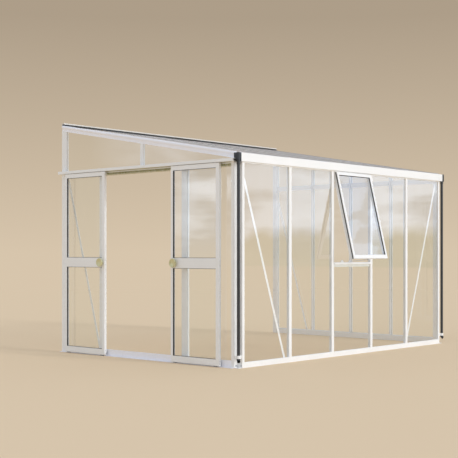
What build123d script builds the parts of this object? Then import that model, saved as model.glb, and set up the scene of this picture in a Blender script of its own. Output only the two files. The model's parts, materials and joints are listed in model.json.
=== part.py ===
from build123d import *
import math
import os

# Lean-to greenhouse in millimetres. The front wall faces -Y, the two sliding doors are in the
# -X end, and the high open side at +Y stands against a house wall.

# Bays and overall sizes
front_bays = 5
front_pitch = 740.0
depth = 2688.0
door_centre = 1369.0
end_pitch = 629.0
front_sill_height = 55.0
end_sill_height = 71.0
eaves_soffit = 2008.0
roof_rise = 102.0
roof_pitch = 10.0

# Glass and the grooves that hold it
glass_thickness = 4.0
bedding = 0.3
glass_cover = 8.0
groove_depth = 10.0
pane_gap = 2.0

# Glazing bar section
cap_width = 42.0
cap_thickness = 9.0
cap_chamfer = 2.0
neck_width = 10.0
flange_width = 32.0
flange_thickness = 4.0
web_width = 12.0
nib_width = 20.0
nib_thickness = 6.0
bar_depth = 42.0

# Corner post section, an L that leaves a notch for the downpipe
notch_front = 55.0
notch_end = 60.0
corner_flange = 34.0
corner_wall = 27.0
corner_wall_end = 28.0
corner_bevel = 18.0
foot_thickness = 5.0

# Wall post and door jamb sections
wall_post_width = 80.0
post_reed_inset = 52.0
post_reed = 5.0
jamb_body = 52.0
jamb_lip = 31.0
jamb_setback = 8.0
jamb_lip_thickness = 4.0
jamb_inner = 46.0

# Sills, header and transoms
sill_depth = 45.0
sill_step = 7.0
sill_lip = 4.0
guide_reach = 34.0
guide_thickness = 6.0
header_drop = 23.0
header_height = 70.0
header_fascia = 5.0
transom_drop = 10.0
transom_height = 57.0
joint_gap = 0.3

# Eaves beam and gutter
beam_height = 33.0
gutter_reach = 20.0
gutter_drop = 21.0
gutter_height = 81.0
gutter_wall = 3.0
gutter_lip = 8.0
gutter_back = 46.0
outlet_width = 40.0
outlet_rise = 3.0
outlet_skirt = 4.0
outlet_round = 5.0

# Downpipe with its shoe and clip
pipe_diameter = 32.0
pipe_wall = 2.0
shoe_top = 96.0
shoe_radius = 32.0
shoe_turn = 60.0
clip_height = 31.0
clip_wall = 4.0
clip_arm = 9.0
clip_gap = 0.5

# Roof: rafters, bars, sheets and the plate on the house wall
rafter_width = 45.0
rafter_height = 66.0
rafter_cap = 34.0
rafter_seat = 22.0
rafter_flange = 30.0
rafter_roll = 36.0
rafter_bulge = 9.0
roof_cap = 4.0
sheet_thickness = 10.0
sheet_start = 14.0
ledge_thickness = 5.0
ledge_width = 44.0
roof_bar_cap = 36.0
roof_bar_height = 45.0
plate_reach = 32.0
plate_thickness = 14.0
plate_leg = 6.0
seal_height = 17.0
seal_inset = 2.0

# Door track and sliding doors
track_reach = 58.0
track_height = 30.0
track_wall = 3.0
track_bevel = 2.0
track_start = 24.0
track_slot_outer = 42.0
track_slot_inner = 28.0
door_width = 670.0
door_thickness = 30.0
door_standoff = 20.0
door_bottom = 12.0
door_clear = 5.0
stile_width = 43.0
far_stile = 33.0
top_rail = 46.0
bottom_rail = 65.0
mid_rail_bottom = 971.0
mid_rail_height = 104.0
door_glass_inset = 6.0
door_edge_round = 2.0
door_back_opened = 530.0
door_front_opened = 484.0
knob_diameter = 92.0
knob_thickness = 15.0
knob_height = 36.0
knob_neck = 38.0
knob_inset = 54.0
knob_round = 5.0
hanger_inset = 90.0
hanger_width = 30.0
hanger_strap = 4.0
wheel_diameter = 17.0
wheel_width = 7.0
wheel_clear = 1.0
axle_diameter = 6.0

# Opening vent in the middle bay
vent_angle = 13.7
vent_height = 970.0
vent_thickness = 34.0
vent_side_gap = 23.0
vent_proud = 18.0
vent_drop = 4.3
vent_bead = 8.0
vent_stile = 30.0
vent_top_rail = 33.0
vent_bottom_rail = 43.0
vent_glass_inset = 8.0
vent_channel_inset = 7.0
vent_channel_depth = 5.0
vent_skirt = 20.0
vent_skirt_thickness = 4.0
vent_sill_clear = 10.4
vent_sill_height = 23.0
vent_sill_nose = 6.0
vent_sill_leg = 26.0
stay_offset = 33.0
spare_peg = 150.0
stay_width = 14.0
stay_thickness = 5.0
stay_lift = 5.0
stay_holes = 5
stay_hole = 8.0
peg_diameter = 7.0

# Flat diagonal braces
brace_width = 28.0
brace_thickness = 3.0
front_brace_top = 4.0
front_brace_foot = 50.0
end_brace_top = 54.0
end_brace_foot = 80.0

# Sizes that follow from the ones above
corner_centre = notch_front + corner_flange / 2
length = 2 * corner_centre + front_bays * front_pitch
front_bars = [corner_centre + front_pitch * i for i in range(1, front_bays)]
end_bars = [door_centre + end_pitch * i for i in (-1, 0, 1)]
groove = glass_thickness + 2 * bedding
groove_inner = cap_thickness + groove
front_flange_end = notch_front + corner_flange
end_flange_end = notch_end + corner_flange
post_face = depth - wall_post_width
slope = math.tan(math.radians(roof_pitch))
beam_top = eaves_soffit + beam_height
gutter_bottom = beam_top - gutter_drop
gutter_top = gutter_bottom + gutter_height
roof_edge = eaves_soffit + roof_rise
rafter_start = gutter_back + joint_gap
roof_end = depth - plate_leg - joint_gap
header_bottom = eaves_soffit - header_drop
header_top = header_bottom + header_height
transom_bottom = eaves_soffit - transom_drop
transom_top = transom_bottom + transom_height
track_bottom = header_top - header_fascia - track_height
track_top = track_bottom + track_height
door_top = track_bottom - door_clear
vent_top = eaves_soffit - vent_drop - joint_gap
vent_bottom = vent_top - vent_height
vent_sill_top = vent_bottom - vent_sill_clear
vent_sill_bottom = vent_sill_top - vent_sill_height
pane_side = neck_width / 2 + pane_gap
high = roof_edge + depth

nodes = {}


def roof_z(y):
    """Height of the rafters' top edge at a distance y behind the front wall."""
    return roof_edge + slope * y


def front(across, inward):
    return (across, inward)


def mirror_front(across, inward):
    return (length - across, inward)


def left(across, inward):
    return (inward, across)


def right(across, inward):
    return (length - inward, across)


def prism(points, run):
    """Extrude a closed outline of 3D points along the vector run."""
    way = Vector(*run)
    return extrude(make_face(Polyline(*points, close=True)), amount=way.length, dir=way.normalized())


def upright(outline, wall, bottom, top):
    """Extrude a plan outline of (across, inward) points upwards in one of the walls."""
    points = [(*wall(a, d), bottom) for a, d in outline]
    return prism(points, (0, 0, top - bottom))


def level_x(outline, x0, x1):
    """Extrude a section of (y, z) points along the front."""
    return prism([(x0, y, z) for y, z in outline], (x1 - x0, 0, 0))


def level_y(outline, wall, y0, y1):
    """Extrude a section of (inward, z) points along an end wall."""
    points = [(*wall(y0, d), z) for d, z in outline]
    return prism(points, (0, y1 - y0, 0))


def sloping(outline, y0, y1):
    """Extrude a section of (x, drop below the roof line) points up the roof."""
    points = [(x, y0, roof_z(y0) - drop) for x, drop in outline]
    return prism(points, (0, y1 - y0, slope * (y1 - y0)))


def block(x0, x1, y0, y1, z0, z1):
    return Pos(x0, y0, z0) * Box(x1 - x0, y1 - y0, z1 - z0, align=(Align.MIN, Align.MIN, Align.MIN))


def standing(radius, bottom, top):
    return Pos(0, 0, bottom) * Cylinder(radius, top - bottom, align=(Align.CENTER, Align.CENTER, Align.MIN))


def below_roof(shape, drop):
    """Cut a shape off along the roof slope, a given drop below the roof line."""
    y0 = -depth
    y1 = 2 * depth
    edge = [(y0, roof_z(y0) - drop), (y1, roof_z(y1) - drop), (y1, 2 * high), (y0, 2 * high)]
    return shape - level_x(edge, -depth, length + depth)


def bar_outline(centre):
    """T section of a glazing bar: outer cap, neck, inner flange and a web with a nibbed end."""
    half = [
        (cap_width / 2 - cap_chamfer, 0),
        (cap_width / 2, cap_chamfer),
        (cap_width / 2, cap_thickness),
        (neck_width / 2, cap_thickness),
        (neck_width / 2, groove_inner),
        (flange_width / 2, groove_inner),
        (flange_width / 2, groove_inner + flange_thickness),
        (web_width / 2, groove_inner + flange_thickness),
        (web_width / 2, bar_depth - nib_thickness),
        (nib_width / 2, bar_depth - nib_thickness),
        (nib_width / 2, bar_depth),
    ]
    mirrored = [(-a, d) for a, d in reversed(half)]
    return [(centre + a, d) for a, d in half + mirrored]


def corner_outline():
    """L section of a corner post, with a glass groove at each end and a notch outside."""
    inner_front = notch_front + corner_wall
    inner_end = notch_end + corner_wall_end
    lip = groove_inner + flange_thickness
    return [
        (notch_front, 0),
        (front_flange_end, 0),
        (front_flange_end, cap_thickness),
        (front_flange_end - groove_depth, cap_thickness),
        (front_flange_end - groove_depth, groove_inner),
        (front_flange_end, groove_inner),
        (front_flange_end, lip),
        (inner_front, lip),
        (inner_front, inner_end - corner_bevel),
        (inner_front - corner_bevel, inner_end),
        (lip, inner_end),
        (lip, end_flange_end),
        (groove_inner, end_flange_end),
        (groove_inner, end_flange_end - groove_depth),
        (cap_thickness, end_flange_end - groove_depth),
        (cap_thickness, end_flange_end),
        (0, end_flange_end),
        (0, notch_end),
        (notch_front, notch_end),
    ]


def jamb_outline(centre, side):
    """Section of a door jamb; side is +1 where the doorway lies towards +Y."""
    body = jamb_body - (jamb_body + jamb_lip) / 2
    pane = -(jamb_body + jamb_lip) / 2
    lip_end = body + jamb_lip
    points = [
        (pane, 0),
        (body, 0),
        (body, jamb_setback),
        (lip_end, jamb_setback),
        (lip_end, jamb_setback + jamb_lip_thickness),
        (body, jamb_setback + jamb_lip_thickness),
        (body, bar_depth),
        (body - jamb_inner, bar_depth),
        (body - jamb_inner, groove_inner + flange_thickness),
        (pane, groove_inner + flange_thickness),
        (pane, groove_inner),
        (pane + groove_depth, groove_inner),
        (pane + groove_depth, cap_thickness),
        (pane, cap_thickness),
    ]
    return [(centre + side * a, d) for a, d in points]


def wall_post_outline():
    """Section of the post that is fixed to the house wall, reeded outside, with a glass groove."""
    reed = depth - post_reed_inset
    return [
        (post_face, 0),
        (reed - post_reed / 2, 0),
        (reed, post_reed / 2),
        (reed + post_reed / 2, 0),
        (depth, 0),
        (depth, bar_depth),
        (post_face + groove_depth, bar_depth),
        (post_face + groove_depth, groove_inner + flange_thickness),
        (post_face, groove_inner + flange_thickness),
        (post_face, groove_inner),
        (post_face + groove_depth, groove_inner),
        (post_face + groove_depth, cap_thickness),
        (post_face, cap_thickness),
    ]


def sill_outline(height):
    """Section of a sill as (inward, z) points, with a groove for the glass along its top."""
    return [
        (0, 0),
        (0, height - cap_chamfer),
        (cap_chamfer, height),
        (cap_thickness, height),
        (cap_thickness, height - groove_depth),
        (groove_inner, height - groove_depth),
        (groove_inner, height),
        (groove_inner + sill_lip, height),
        (groove_inner + sill_lip, height - sill_step),
        (sill_depth, height - sill_step),
        (sill_depth, 0),
    ]


def header_outline(bottom, top):
    """Section of an eaves-level rail with a glass groove above and below."""
    return [
        (0, bottom),
        (cap_thickness, bottom),
        (cap_thickness, bottom + groove_depth),
        (groove_inner, bottom + groove_depth),
        (groove_inner, bottom),
        (bar_depth, bottom),
        (bar_depth, top),
        (groove_inner, top),
        (groove_inner, top - groove_depth),
        (cap_thickness, top - groove_depth),
        (cap_thickness, top),
        (0, top),
    ]


# Sills
nodes["front_sill"] = level_x(sill_outline(front_sill_height), front_flange_end, length - front_flange_end)
guide_outline = [(-guide_reach, 0), (-guide_reach, guide_thickness), (0, guide_thickness), (0, 0)]
guide = level_y(guide_outline, left, notch_end, depth)
nodes["left_end_sill"] = level_y(sill_outline(end_sill_height), left, end_flange_end, post_face) + guide
nodes["right_end_sill"] = level_y(sill_outline(end_sill_height), right, end_flange_end, post_face)

# Corner posts, each with a foot plate across its notch
gutter_space = block(-depth, length + depth, -depth, rafter_start, beam_top, 2 * high)


def corner_post(plan):
    post = upright(corner_outline(), plan, 0, high)
    foot_points = [(0, 0), (notch_front, 0), (notch_front, notch_end), (0, notch_end)]
    foot = upright(foot_points, plan, 0, foot_thickness)
    return below_roof(post - gutter_space, rafter_height) + foot


nodes["corner_post_left"] = corner_post(front)
nodes["corner_post_right"] = corner_post(mirror_front)

# Posts on the house wall
nodes["wall_post_left"] = below_roof(upright(wall_post_outline(), left, 0, high), rafter_height)
nodes["wall_post_right"] = below_roof(upright(wall_post_outline(), right, 0, high), rafter_height)

# Glazing bars of the front wall
for number, centre in enumerate(front_bars, start=1):
    nodes[f"front_bar_{number}"] = upright(bar_outline(centre), front, front_sill_height, eaves_soffit)

# Doorway jambs under the header of the left end, and the bar of the gable above it
nodes["door_jamb_front"] = upright(jamb_outline(end_bars[0], 1), left, end_sill_height, header_bottom)
nodes["door_jamb_back"] = upright(jamb_outline(end_bars[2], -1), left, end_sill_height, header_bottom)
nodes["left_header"] = level_y(header_outline(header_bottom, header_top), left, end_flange_end, post_face)
gable_bar = upright(bar_outline(end_bars[1]), left, header_top, high)
nodes["left_gable_bar"] = below_roof(gable_bar, rafter_height)

# Glazing bars and transoms of the right end
nodes["right_end_bars"] = Compound(children=[
    below_roof(upright(bar_outline(centre), right, end_sill_height, high), rafter_height)
    for centre in end_bars
])
side = cap_width / 2 + joint_gap
stops = [(end_flange_end, end_bars[0] - side)]
stops += [(a + side, b - side) for a, b in zip(end_bars, end_bars[1:])]
stops += [(end_bars[2] + side, post_face)]
nodes["right_transom"] = Compound(children=[
    level_y(header_outline(transom_bottom, transom_top), right, y0, y1) for y0, y1 in stops
])

# Eaves beam over the front glass, and the gutter on it
beam_outline = [
    (0, eaves_soffit),
    (cap_thickness, eaves_soffit),
    (cap_thickness, eaves_soffit + groove_depth),
    (groove_inner, eaves_soffit + groove_depth),
    (groove_inner, eaves_soffit),
    (bar_depth, eaves_soffit),
    (bar_depth, beam_top),
    (0, beam_top),
]
nodes["eaves_beam"] = level_x(beam_outline, front_flange_end, length - front_flange_end)

trough_floor = beam_top + gutter_wall
roof_build = roof_cap + sheet_thickness + 2 * bedding + ledge_thickness
gutter_back_top = roof_z(gutter_back - gutter_wall) - roof_build - joint_gap
gutter_outline = [
    (-gutter_reach, gutter_bottom),
    (0, gutter_bottom),
    (0, gutter_bottom + gutter_wall),
    (gutter_wall - gutter_reach, gutter_bottom + gutter_wall),
    (gutter_wall - gutter_reach, beam_top),
    (gutter_back, beam_top),
    (gutter_back, gutter_back_top),
    (gutter_back - gutter_wall, gutter_back_top),
    (gutter_back - gutter_wall, trough_floor),
    (gutter_wall - gutter_reach, trough_floor),
    (gutter_wall - gutter_reach, gutter_top - gutter_wall),
    (gutter_lip - gutter_reach, gutter_top - gutter_wall),
    (gutter_lip - gutter_reach, gutter_top),
    (-gutter_reach, gutter_top),
]
gutter_start = outlet_width / 2
nodes["gutter"] = level_x(gutter_outline, gutter_start, length - gutter_start)

# Black outlet at each end of the gutter: a stop end with a bore down to the pipe
bore = pipe_diameter / 2 - pipe_wall
outlet_bottom = gutter_bottom - outlet_skirt


def outlet():
    reach = outlet_width / 2
    back = gutter_back - gutter_wall - joint_gap
    body = block(-reach, reach, -gutter_reach, back, outlet_bottom, gutter_top + outlet_rise)
    outside = body.edges().filter_by(Axis.Y).group_by(Axis.Z)[-1].sort_by(Axis.X)[0]
    body = fillet(outside, outlet_round)
    body -= block(
        gutter_wall - reach, reach,
        gutter_wall - gutter_reach, back - gutter_wall,
        trough_floor, high,
    )
    return body - standing(bore, outlet_bottom, trough_floor + bore)


def mirrored_end(shape):
    """The same piece at the other end of the greenhouse."""
    return mirror(shape, about=Plane(origin=(length / 2, 0, 0), z_dir=(1, 0, 0)))


outlet_left = outlet()
nodes["gutter_outlets"] = Compound(children=[outlet_left, mirrored_end(outlet_left)])


# Downpipe that ends in a curved shoe turned away from the corner
def downpipe():
    ring = Circle(pipe_diameter / 2) - Circle(pipe_diameter / 2 - pipe_wall)
    straight = extrude(Pos(0, 0, shoe_top) * ring, amount=outlet_bottom - shoe_top)
    away = math.sqrt(0.5)
    pivot = Axis((-shoe_radius * away, -shoe_radius * away, shoe_top), (-away, away, 0))
    shoe = revolve(Pos(0, 0, shoe_top) * ring, axis=pivot, revolution_arc=shoe_turn)
    return straight + shoe


def pipe_clip():
    """White clip round the pipe's foot with an arm to the corner post."""
    inner = pipe_diameter / 2 + clip_gap
    outer = inner + clip_wall
    clip_top = shoe_top + clip_height
    arm = block(inner, notch_front - joint_gap, clip_arm / 2, clip_arm * 3 / 2, shoe_top, clip_top)
    hole = standing(inner, shoe_top - clip_wall, clip_top + clip_wall)
    return standing(outer, shoe_top, clip_top) + arm - hole


pipe_left = downpipe()
clip_left = pipe_clip()
nodes["downpipe_left"] = pipe_left
nodes["downpipe_right"] = mirrored_end(pipe_left)
nodes["pipe_clips"] = Compound(children=[clip_left, mirrored_end(clip_left)])

# Rafters over the two ends
sheet_top = roof_cap + bedding
sheet_bottom = sheet_top + sheet_thickness
ledge_top = sheet_bottom + bedding
rafter_outline = [
    (rafter_cap, 0),
    (rafter_cap, roof_cap),
    (rafter_seat, roof_cap),
    (rafter_seat, ledge_top),
    (rafter_width, ledge_top),
    (rafter_width, rafter_height - rafter_flange),
    (groove_inner + flange_thickness, rafter_height - rafter_flange),
    (groove_inner + flange_thickness, rafter_height),
    (groove_inner, rafter_height),
    (groove_inner, rafter_height - groove_depth),
    (cap_thickness, rafter_height - groove_depth),
    (cap_thickness, rafter_height),
    (0, rafter_height),
    (0, rafter_roll),
]


def rafter():
    """The rafter's section with a round roll along its outer face, carried up the roof."""
    points = [(x, rafter_start, roof_z(rafter_start) - drop) for x, drop in rafter_outline]
    roll = [(0, rafter_roll), (-rafter_bulge, rafter_roll / 2), (0, 0)]
    roll = [(x, rafter_start, roof_z(rafter_start) - drop) for x, drop in roll]
    face = make_face(Polyline(*points) + ThreePointArc(*roll) + Line(roll[-1], points[0]))
    run = Vector(0, roof_end - rafter_start, slope * (roof_end - rafter_start))
    return extrude(face, amount=run.length, dir=run.normalized())


rafter_left = rafter()
nodes["rafter_left"] = rafter_left
nodes["rafter_right"] = mirrored_end(rafter_left)


# Roof bars over the front bars; their webs stop at the gutter's back
def roof_bar(centre):
    head = [
        (roof_bar_cap / 2, 0),
        (roof_bar_cap / 2, roof_cap),
        (neck_width / 2, roof_cap),
        (neck_width / 2, ledge_top),
        (ledge_width / 2, ledge_top),
        (ledge_width / 2, ledge_top + ledge_thickness),
    ]
    outline = [(centre + x, drop) for x, drop in head + [(-x, drop) for x, drop in reversed(head)]]
    web = [(centre + x, drop) for x, drop in [
        (web_width / 2, ledge_top + ledge_thickness),
        (web_width / 2, roof_bar_height),
        (-web_width / 2, roof_bar_height),
        (-web_width / 2, ledge_top + ledge_thickness),
    ]]
    return sloping(outline, sheet_start, roof_end) + sloping(web, rafter_start, roof_end)


nodes["roof_bars"] = Compound(children=[roof_bar(centre) for centre in front_bars])

# Roof sheets between the bars
edges = [rafter_seat + bedding]
for centre in front_bars:
    edges += [centre - neck_width / 2 - bedding, centre + neck_width / 2 + bedding]
edges += [length - rafter_seat - bedding]
sheet_corners = [
    [(x0, sheet_top), (x1, sheet_top), (x1, sheet_bottom), (x0, sheet_bottom)]
    for x0, x1 in zip(edges[::2], edges[1::2])
]
nodes["roof_sheets"] = Compound(children=[
    sloping(corners, sheet_start, roof_end - bedding) for corners in sheet_corners
])

# Plate on the house wall with a rubber seal on the roof
plate_front = depth - plate_reach
seal_front = plate_front + seal_inset
plate_bottom = roof_z(seal_front) + seal_height
plate_top = plate_bottom + plate_thickness
plate_outline = [
    (depth, roof_z(depth) - roof_bar_height),
    (depth, plate_top),
    (plate_front, plate_top),
    (plate_front, plate_bottom),
    (depth - plate_leg, plate_bottom),
    (depth - plate_leg, roof_z(depth) - roof_bar_height),
]
nodes["wall_plate"] = level_x(plate_outline, 0, length)
seal_outline = [
    (seal_front, roof_z(seal_front) + bedding),
    (roof_end, roof_z(roof_end) + bedding),
    (roof_end, plate_bottom),
    (seal_front, plate_bottom),
]
nodes["wall_seal"] = level_x(seal_outline, 0, length)

# Track over the doorway, notched round the gutter outlet
track_outline = [
    (0, track_top),
    (track_bevel - track_reach, track_top),
    (-track_reach, track_top - track_bevel),
    (-track_reach, track_bottom),
    (-track_slot_outer, track_bottom),
    (-track_slot_outer, track_bottom + track_wall),
    (track_wall - track_reach, track_bottom + track_wall),
    (track_wall - track_reach, track_top - track_wall),
    (-track_wall, track_top - track_wall),
    (-track_wall, track_bottom + track_wall),
    (-track_slot_inner, track_bottom + track_wall),
    (-track_slot_inner, track_bottom),
    (0, track_bottom),
]
track_notch = block(-outlet_width / 2 - joint_gap, high, -depth, gutter_back, 0, high)
nodes["door_track"] = level_y(track_outline, left, track_start, depth) - track_notch


# Fixed glass
def wall_pane(wall, across0, across1, z0, z1):
    """A pane of the walls, bedded behind the caps."""
    inward0 = cap_thickness + bedding
    inward1 = inward0 + glass_thickness
    outline = [(across0, inward0), (across1, inward0), (across1, inward1), (across0, inward1)]
    return upright(outline, wall, z0, z1)


vent_bay = front_bays // 2
vent_left = corner_centre + front_pitch * vent_bay
vent_right = vent_left + front_pitch
vent_middle = (vent_left + vent_right) / 2
pane_bottom = front_sill_height - glass_cover
pane_top = eaves_soffit + glass_cover
vent_pane_top = vent_sill_bottom + glass_cover
pane_starts = [front_flange_end - glass_cover] + [centre + pane_side for centre in front_bars]
pane_ends = [centre - pane_side for centre in front_bars] + [length - front_flange_end + glass_cover]
nodes["front_glass"] = Compound(children=[
    wall_pane(front, x0, x1, pane_bottom, vent_pane_top if bay == vent_bay else pane_top)
    for bay, (x0, x1) in enumerate(zip(pane_starts, pane_ends))
])

end_pane_bottom = end_sill_height - glass_cover
jamb_reach = (jamb_body + jamb_lip) / 2 - glass_cover
left_panes = [
    (end_flange_end - glass_cover, end_bars[0] - jamb_reach),
    (end_bars[2] + jamb_reach, post_face + glass_cover),
]
nodes["left_end_glass"] = Compound(children=[
    wall_pane(left, y0, y1, end_pane_bottom, header_bottom + glass_cover) for y0, y1 in left_panes
])
right_starts = [end_flange_end - glass_cover] + [centre + pane_side for centre in end_bars]
right_ends = [centre - pane_side for centre in end_bars] + [post_face + glass_cover]
nodes["right_end_glass"] = Compound(children=[
    wall_pane(right, y0, y1, end_pane_bottom, transom_bottom + glass_cover)
    for y0, y1 in zip(right_starts, right_ends)
])


def gable_pane(wall, y0, y1, rail_top):
    """A pane under the rafter, cut to the slope of the roof."""
    return below_roof(wall_pane(wall, y0, y1, rail_top - glass_cover, high), rafter_height - glass_cover)


left_gable_ends = [end_bars[1] - pane_side, post_face + glass_cover]
left_gable_starts = [end_flange_end - glass_cover, end_bars[1] + pane_side]
gable_panes = [gable_pane(left, y0, y1, header_top) for y0, y1 in zip(left_gable_starts, left_gable_ends)]
gable_panes += [gable_pane(right, y0, y1, transom_top) for y0, y1 in zip(right_starts, right_ends)]
nodes["gable_glass"] = Compound(children=gable_panes)

# Sill under the vent, with a peg for the stay
sill_side = cap_width / 2 + joint_gap
vent_sill_outline = [
    (-vent_sill_nose, vent_sill_bottom),
    (cap_thickness, vent_sill_bottom),
    (cap_thickness, vent_sill_bottom + groove_depth),
    (groove_inner, vent_sill_bottom + groove_depth),
    (groove_inner, vent_sill_bottom - vent_sill_leg),
    (groove_inner + flange_thickness, vent_sill_bottom - vent_sill_leg),
    (groove_inner + flange_thickness, vent_sill_bottom),
    (bar_depth, vent_sill_bottom),
    (bar_depth, vent_sill_top),
    (0, vent_sill_top),
    (-vent_sill_nose, vent_sill_top - vent_sill_nose),
]
vent_sill = level_x(vent_sill_outline, vent_left + sill_side, vent_right - sill_side)

# Vent frame and its glass, hung from a bead under the eaves beam and swung outwards
hinge_y = vent_bead / 2
hinge_z = eaves_soffit - joint_gap - vent_bead / 2
hinge = Axis((0, hinge_y, hinge_z), (1, 0, 0))
vent_x0 = vent_left + cap_width / 2 + vent_side_gap
vent_x1 = vent_right - cap_width / 2 - vent_side_gap
window_x0 = vent_x0 + vent_stile
window_x1 = vent_x1 - vent_stile
window_z0 = vent_bottom + vent_bottom_rail
window_z1 = vent_top - vent_top_rail
vent_face = -vent_proud
vent_back = vent_face + vent_thickness
vent_body = block(vent_x0, vent_x1, vent_face, vent_back, vent_bottom, vent_top)
vent_body -= block(window_x0, window_x1, 2 * vent_face, 2 * vent_thickness, window_z0, window_z1)
vent_body -= block(
    window_x0 - groove_depth, window_x1 + groove_depth,
    vent_face + vent_glass_inset, vent_face + vent_glass_inset + groove,
    window_z0 - groove_depth, window_z1 + groove_depth,
)
skirt_reach = vent_channel_depth + vent_skirt_thickness
for edge, way in ((vent_x0, 1), (vent_x1, -1)):
    x0, x1 = sorted((edge, edge + way * vent_channel_depth))
    vent_body -= block(x0, x1, vent_face + vent_channel_inset, vent_back, vent_bottom, vent_top)
    x0, x1 = sorted((edge, edge + way * skirt_reach))
    vent_body += block(x0, x1, vent_back, vent_back + vent_skirt, vent_bottom, vent_top)
bead_centre = Pos((vent_x0 + vent_x1) / 2, hinge_y, hinge_z)
bead = bead_centre * Rot(0, 90, 0) * Cylinder(vent_bead / 2, vent_x1 - vent_x0)
vent_pane = block(
    window_x0 - glass_cover, window_x1 + glass_cover,
    vent_face + vent_glass_inset + bedding, vent_face + vent_glass_inset + bedding + glass_thickness,
    window_z0 - glass_cover, window_z1 + glass_cover,
)
nodes["vent_frame"] = (vent_body + bead).rotate(hinge, -vent_angle)
nodes["vent_glass"] = vent_pane.rotate(hinge, -vent_angle)

# Stay: a flat bar with holes from a peg on the sill to the vent's bottom rail
swing = math.radians(vent_angle)
rail_y = (vent_face + vent_back) / 2 - hinge_y
rail_z = vent_bottom - hinge_z
stay_end_y = hinge_y + rail_y * math.cos(swing) + rail_z * math.sin(swing)
stay_end_z = hinge_z - rail_y * math.sin(swing) + rail_z * math.cos(swing) - joint_gap
stay_start_y = bar_depth - nib_thickness
stay_start_z = vent_sill_top + stay_lift + stay_thickness
stay_x = vent_middle - stay_offset
arm_outline = [
    (stay_start_y, stay_start_z),
    (stay_start_y, stay_start_z - stay_thickness),
    (stay_end_y - stay_width / 2, stay_end_z - stay_thickness - stay_lift),
    (stay_end_y - stay_width / 2, stay_end_z - stay_lift),
]
stay = level_x(arm_outline, stay_x - stay_width / 2, stay_x + stay_width / 2)
lug_outline = [
    (stay_end_y + stay_width / 2, stay_end_z - stay_thickness - stay_lift),
    (stay_end_y - stay_width / 2, stay_end_z - stay_thickness - stay_lift),
    (stay_end_y - stay_width / 2, stay_end_z - joint_gap),
    (stay_end_y + stay_width / 2, stay_end_z - stay_width / 2 * math.tan(swing) - joint_gap),
]
stay += level_x(lug_outline, stay_x - stay_width / 2, stay_x + stay_width / 2)
stay_reach = stay_start_y - stay_end_y
hole_step = stay_reach / (stay_holes + 1)
peg_y = stay_start_y - hole_step / 2
for i in range(stay_holes):
    stay -= Pos(stay_x, peg_y - i * hole_step, stay_start_z) * Cylinder(stay_hole / 2, stay_reach)
nodes["vent_stay"] = stay
peg_top = stay_start_z + stay_lift
peg_base = vent_sill_top + stay_lift - joint_gap
peg = block(-peg_diameter, peg_diameter, -peg_diameter, peg_diameter, vent_sill_top, peg_base)
peg += standing(peg_diameter / 2, vent_sill_top, peg_top)
for x in (stay_x, stay_x - spare_peg):
    vent_sill += Pos(x, peg_y, 0) * peg
nodes["vent_sill"] = vent_sill


# Flat braces on the inner edges of the bars and posts
def brace(wall, top_across, foot_across, foot_z):
    """A flat diagonal with level ends, from under the eaves down to a sill."""
    inward0 = bar_depth + joint_gap
    inward1 = inward0 + brace_thickness
    top_z = eaves_soffit - joint_gap
    run = math.hypot(foot_across - top_across, top_z - foot_z)
    half = brace_width / 2 * run / (top_z - foot_z)
    corners = [
        (top_across - half, top_z),
        (top_across + half, top_z),
        (foot_across + half, foot_z),
        (foot_across - half, foot_z),
    ]
    near = Vector(*wall(0, inward0), 0)
    far = Vector(*wall(0, inward1), 0)
    return prism([(*wall(a, inward0), z) for a, z in corners], tuple(far - near))


sill_seat = joint_gap - sill_step
post_side = notch_front + corner_wall
front_brace = brace(
    front, post_side - front_brace_top, front_bars[0] - front_brace_foot, front_sill_height + sill_seat
)
front_brace -= block(0, post_side + joint_gap, 0, depth, 0, high)
end_braces = [
    brace(wall, depth - end_brace_top, end_bars[2] + end_brace_foot, end_sill_height + sill_seat)
    for wall in (left, right)
]
nodes["wind_braces"] = Compound(children=[front_brace, mirrored_end(front_brace), *end_braces])


# Sliding doors: y0 is the edge nearer the front corner
def door_frame(y0):
    """A leaf with two panes; its stile away from the front corner is the narrower one."""
    x1 = -door_standoff
    x0 = x1 - door_thickness
    y1 = y0 + door_width
    window_y0 = y0 + stile_width
    window_y1 = y1 - far_stile
    body = block(x0, x1, y0, y1, door_bottom, door_top)
    body = chamfer(body.edges().filter_by(Axis.Z).group_by(Axis.X)[0], door_edge_round)
    for z0, z1 in door_windows:
        body -= block(2 * x0, 0, window_y0, window_y1, z0, z1)
        body -= block(
            x0 + door_glass_inset, x0 + door_glass_inset + groove,
            window_y0 - groove_depth, window_y1 + groove_depth,
            z0 - groove_depth, z1 + groove_depth,
        )
    return body


def door_glass(y0):
    x0 = -door_standoff - door_thickness + door_glass_inset + bedding
    return Compound(children=[
        block(
            x0, x0 + glass_thickness,
            y0 + stile_width - glass_cover, y0 + door_width - far_stile + glass_cover,
            z0 - glass_cover, z1 + glass_cover,
        )
        for z0, z1 in door_windows
    ])


def door_knob(y):
    """Round pull: a disc with bevelled edges on a neck."""
    disc = knob_height - knob_thickness
    profile = Polyline(
        (0, 0),
        (knob_neck / 2, 0),
        (knob_neck / 2, disc),
        (knob_diameter / 2, disc),
        (knob_diameter / 2, knob_height - knob_round),
        (knob_diameter / 2 - knob_round, knob_height),
        (0, knob_height),
        close=True,
    )
    turned = revolve(make_face(profile), axis=Axis.Y)
    x = -door_standoff - door_thickness
    return Pos(x, y, mid_rail_bottom + mid_rail_height / 2) * Rot(0, 0, 90) * turned


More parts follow.
